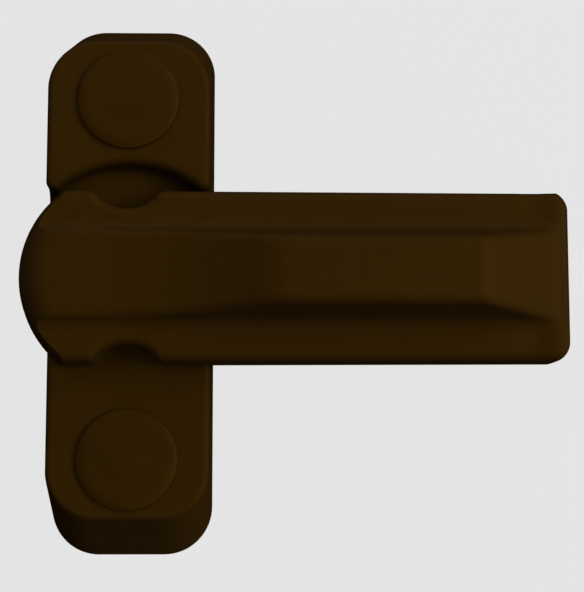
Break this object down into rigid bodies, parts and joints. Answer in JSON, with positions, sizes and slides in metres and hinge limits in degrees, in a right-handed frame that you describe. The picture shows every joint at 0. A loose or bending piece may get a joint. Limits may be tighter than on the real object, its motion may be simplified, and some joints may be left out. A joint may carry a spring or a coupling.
{
  "type": "sash stopper",
  "caption": "Cast sash stopper: a screw-down base with capped fixing holes and a raised stop pad, and a ridged arm that swings on a pivot to hold a window sash shut.",
  "frame": {"origin": "on the arm's pivot axis, in the plane of the base's back face", "axes": "+X along the arm in its locked position, +Y along the base towards the raised stop pad, +Z away from the window frame, out of the face that the user sees"},
  "size_m": [0.0689, 0.07, 0.0207],
  "materials": {
    "painted_casting": "satin dark brown powder coat",
    "cap_plastic": "semi-gloss moulded plastic in the same brown",
    "bush_plastic": "plain moulded",
    "spring_steel": "bright rolled",
    "plated_steel": "zinc plated"
  },
  "bodies": {
    "base": {"base_body": "painted_casting", "upper_screw_cap": "cap_plastic", "lower_screw_cap": "cap_plastic", "pivot_bush": "bush_plastic", "spring_washer": "spring_steel"},
    "arm": {"swing_arm": "painted_casting", "thrust_washer": "plated_steel", "pivot_screw": "plated_steel"}
  },
  "joints": [
    {"name": "arm_pivot", "type": "hinge", "parent": "base", "child": "arm", "pos_m": [0, 0, 0.009], "axis": [0, 0, 1], "range_deg": [-180, 0]}
  ]
}
